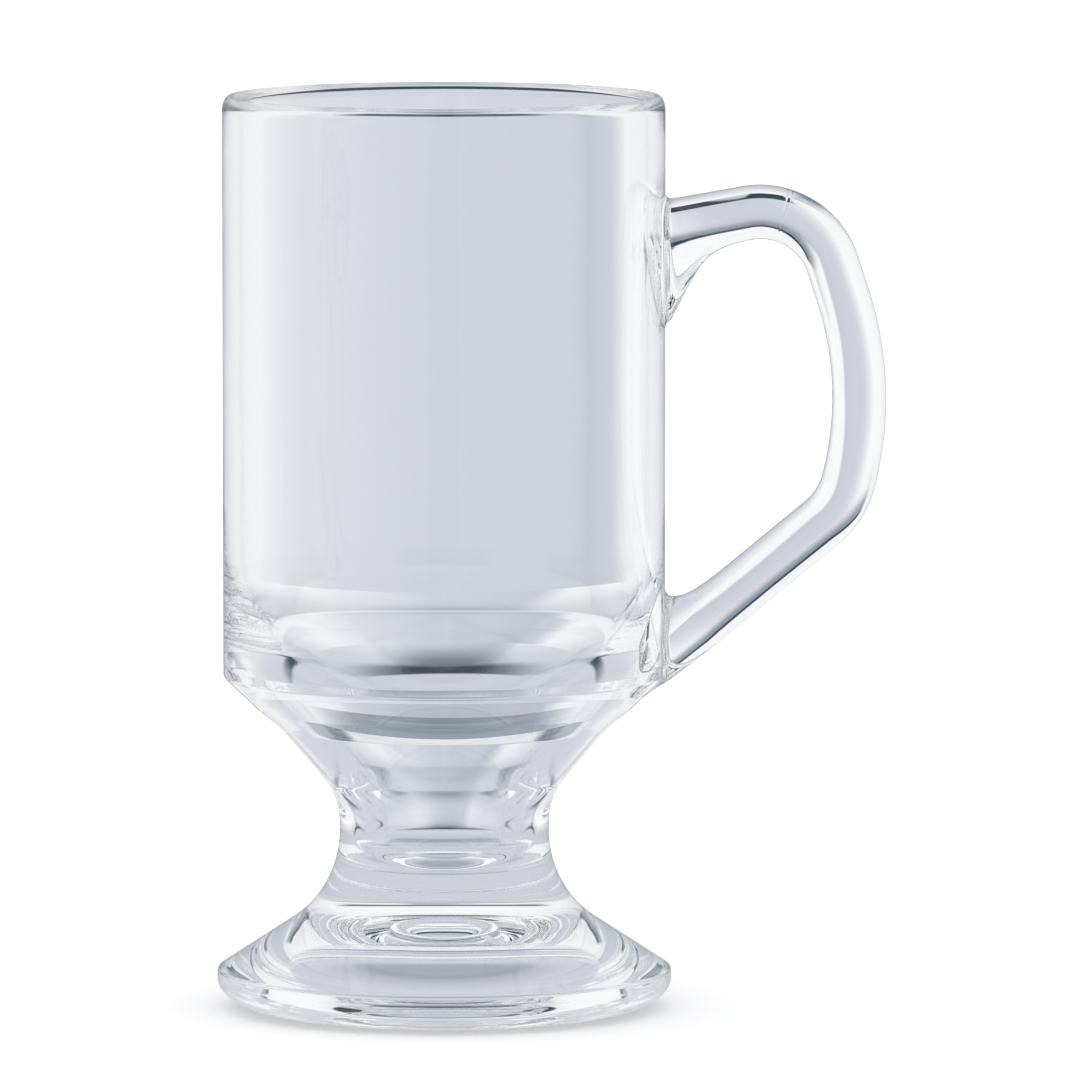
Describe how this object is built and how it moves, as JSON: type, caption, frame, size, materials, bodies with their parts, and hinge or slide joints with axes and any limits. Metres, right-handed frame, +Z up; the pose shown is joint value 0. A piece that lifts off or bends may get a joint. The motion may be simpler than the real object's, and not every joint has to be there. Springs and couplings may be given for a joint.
{
  "type": "irish coffee glass mug",
  "caption": "Clear pressed-glass coffee mug: tall straight bowl on a waisted stem and a bell-shaped foot, with a narrow well in the stem and a D-shaped side handle.",
  "frame": {"origin": "on the mug's axis, at the level of the ring that it rests on", "axes": "+Z up along the mug's axis, +X towards the handle, +Y to the side, away from a viewer who has the handle on the right"},
  "size_m": [0.1105, 0.0752, 0.151],
  "materials": {
    "clear_glass": "clear soda-lime glass with fire-polished faces and a faint blue-green body tint"
  },
  "bodies": {
    "root": {"bowl": "clear_glass", "stem": "clear_glass", "foot": "clear_glass", "handle": "clear_glass"}
  },
  "joints": []
}
